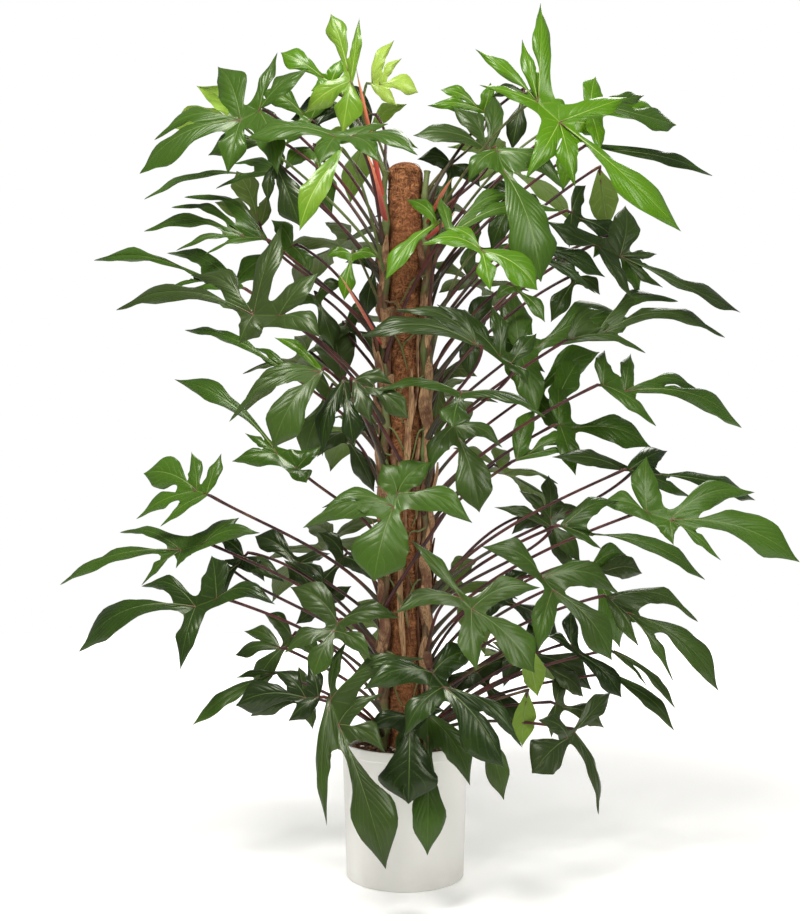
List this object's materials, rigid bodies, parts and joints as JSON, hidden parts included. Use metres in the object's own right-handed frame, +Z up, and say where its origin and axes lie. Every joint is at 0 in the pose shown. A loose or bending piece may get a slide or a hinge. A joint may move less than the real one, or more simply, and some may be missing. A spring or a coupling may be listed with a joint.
{
  "type": "potted climbing philodendron on a coir pole",
  "caption": "Tall leafy climber with deeply lobed leaves on long stalks, its stems tied up a fibre-wrapped pole, in a plain round pot.",
  "frame": {"origin": "centre of the pot's underside", "axes": "+Z up along the pole; -Y is the front"},
  "size_m": [1.3218, 0.7521, 1.5229],
  "materials": {
    "pot": "smooth matte white",
    "soil": "loose dark potting soil",
    "pole_core": "plain tube",
    "coir": "matted brown fibre",
    "leaf": "glossy green leaf"
  },
  "bodies": {
    "root": {"pot": "pot", "soil": "soil", "pole_core": "pole_core", "pole_coir": "coir", "vine_left": "leaf", "vine_right": "leaf", "vine_back": "leaf"}
  },
  "joints": []
}
